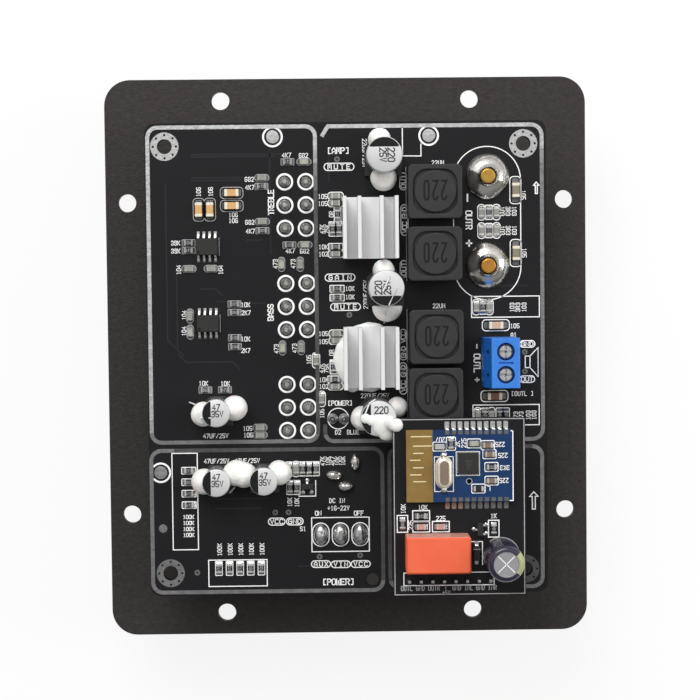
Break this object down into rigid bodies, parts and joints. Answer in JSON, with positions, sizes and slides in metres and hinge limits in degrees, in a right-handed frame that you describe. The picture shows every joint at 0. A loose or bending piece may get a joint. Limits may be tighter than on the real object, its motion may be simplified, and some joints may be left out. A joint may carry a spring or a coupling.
{
  "type": "amplifier board",
  "caption": "Flat metal panel carrying a black circuit board with finned heat sinks, coils, capacitors, a plug-in radio board, control knobs, a switch and speaker posts.",
  "frame": {"origin": "centre of the panel's inner face, the side that carries the board", "axes": "+Z out of the panel's inner face towards the boards, +X right and +Y up as the boards are seen, the controls point to -Z"},
  "size_m": [0.112, 0.13, 0.0598],
  "materials": {
    "panel_coat": "fine-textured powder coat",
    "board_black": "black solder mask",
    "pot_case": "plated steel case",
    "shaft": "turned",
    "knob_black": "fine grain",
    "nickel": "nickel plated",
    "switch_blue": "moulded",
    "black_plastic": "moulded",
    "led_lens": "clear blue epoxy",
    "line_insert": "moulded, one white and one red",
    "brass": "turned",
    "post_black": "moulded",
    "post_red": "moulded",
    "solder": "tin solder",
    "terminal_blue": "moulded",
    "sink_aluminium": "extruded, silver anodised",
    "chip_black": "moulded epoxy",
    "ferrite": "coated ferrite",
    "can_aluminium": "satin can with a black mark",
    "resistor": "glazed film with tinned ends",
    "capacitor_tan": "fired ceramic with tinned ends",
    "sealant": "white sealant",
    "module_blue": "blue solder mask",
    "crystal_can": "drawn can",
    "relay_orange": "moulded cover",
    "capacitor_sleeve": "shrunk sleeve"
  },
  "bodies": {
    "panel": {"back_panel": "panel_coat", "main_board": "board_black", "treble_pot": "pot_case", "bass_pot": "pot_case", "volume_pot": "pot_case", "pot_fasteners": "nickel", "switch_body": "switch_blue", "switch_nut": "nickel", "power_inlet": "black_plastic", "power_inlet_pin": "nickel", "power_led": "led_lens", "line_input_housing": "black_plastic", "line_input_shells": "nickel", "line_input_inserts": "line_insert", "post_neg_stud": "brass", "post_neg_bush": "post_black", "post_pos_stud": "brass", "post_pos_bush": "post_red", "post_fasteners": "brass", "post_solder": "solder", "solder_joints": "solder", "terminal_block": "terminal_blue", "heatsink_upper": "sink_aluminium", "heatsink_lower": "sink_aluminium", "amp_chips": "chip_black", "inductor_1": "ferrite", "inductor_2": "ferrite", "inductor_3": "ferrite", "inductor_4": "ferrite", "large_capacitors": "can_aluminium", "small_capacitors": "can_aluminium", "op_amps": "chip_black", "chip_resistors": "resistor", "chip_capacitors": "capacitor_tan", "transistors": "chip_black", "sealant_beads": "sealant", "receiver_board": "board_black", "receiver_header": "black_plastic", "receiver_socket": "black_plastic", "radio_module": "module_blue", "radio_chips": "chip_black", "radio_crystal": "crystal_can", "relay": "relay_orange", "receiver_capacitor": "capacitor_sleeve"},
    "treble_control": {"treble_shaft": "shaft", "treble_knob": "knob_black"},
    "bass_control": {"bass_shaft": "shaft", "bass_knob": "knob_black"},
    "volume_control": {"volume_shaft": "shaft", "volume_knob": "knob_black"},
    "switch_lever": {"switch_lever": "nickel"},
    "post_neg_slider": {"post_neg_insert": "brass"},
    "post_neg_cap": {"post_neg_cap": "post_black"},
    "post_pos_slider": {"post_pos_insert": "brass"},
    "post_pos_cap": {"post_pos_cap": "post_red"},
    "terminal_screw_1": {"terminal_screw_1": "nickel"},
    "terminal_clamp_1": {"terminal_clamp_1": "nickel"},
    "terminal_screw_2": {"terminal_screw_2": "nickel"},
    "terminal_clamp_2": {"terminal_clamp_2": "nickel"}
  },
  "joints": [
    {"name": "treble_turn", "type": "hinge", "parent": "panel", "child": "treble_control", "pos_m": [-0.023, 0.03505, -0.01], "axis": [0, 0, 1], "range_deg": [-150, 150]},
    {"name": "bass_turn", "type": "hinge", "parent": "panel", "child": "bass_control", "pos_m": [-0.023, 0.0123, -0.01], "axis": [0, 0, 1], "range_deg": [-150, 150]},
    {"name": "volume_turn", "type": "hinge", "parent": "panel", "child": "volume_control", "pos_m": [-0.023, -0.01045, -0.01], "axis": [0, 0, 1], "range_deg": [-150, 150]},
    {"name": "switch_throw", "type": "hinge", "parent": "panel", "child": "switch_lever", "pos_m": [-0.0022, -0.0394, -0.006], "axis": [0, -1, 0], "range_deg": [0, 24]},
    {"name": "post_neg_travel", "type": "slide", "parent": "panel", "child": "post_neg_slider", "axis": [0, 0, -1], "range_m": [0, 0.004]},
    {"name": "post_neg_turn", "type": "hinge", "parent": "post_neg_slider", "child": "post_neg_cap", "pos_m": [0.0315, 0.041, -0.013], "axis": [0, 0, -1], "range_deg": [0, 1440]},
    {"name": "post_pos_travel", "type": "slide", "parent": "panel", "child": "post_pos_slider", "axis": [0, 0, -1], "range_m": [0, 0.004]},
    {"name": "post_pos_turn", "type": "hinge", "parent": "post_pos_slider", "child": "post_pos_cap", "pos_m": [0.0315, 0.021, -0.013], "axis": [0, 0, -1], "range_deg": [0, 1440]},
    {"name": "terminal_turn_1", "type": "hinge", "parent": "panel", "child": "terminal_screw_1", "pos_m": [0.0345, 0.00204, 0.023], "axis": [0, 0, -1], "range_deg": [0, 1080]},
    {"name": "terminal_lift_1", "type": "slide", "parent": "panel", "child": "terminal_clamp_1", "axis": [0, 0, 1], "range_m": [0, 0.0015]},
    {"name": "terminal_turn_2", "type": "hinge", "parent": "panel", "child": "terminal_screw_2", "pos_m": [0.0345, -0.00304, 0.023], "axis": [0, 0, -1], "range_deg": [0, 1080]},
    {"name": "terminal_lift_2", "type": "slide", "parent": "panel", "child": "terminal_clamp_2", "axis": [0, 0, 1], "range_m": [0, 0.0015]}
  ],
  "couplings": [
    {"joint": "post_neg_turn", "follows": "post_neg_travel", "rad_per_m": 6283.2},
    {"joint": "post_pos_turn", "follows": "post_pos_travel", "rad_per_m": 6283.2},
    {"joint": "terminal_turn_1", "follows": "terminal_lift_1", "rad_per_m": 12566},
    {"joint": "terminal_turn_2", "follows": "terminal_lift_2", "rad_per_m": 12566}
  ]
}
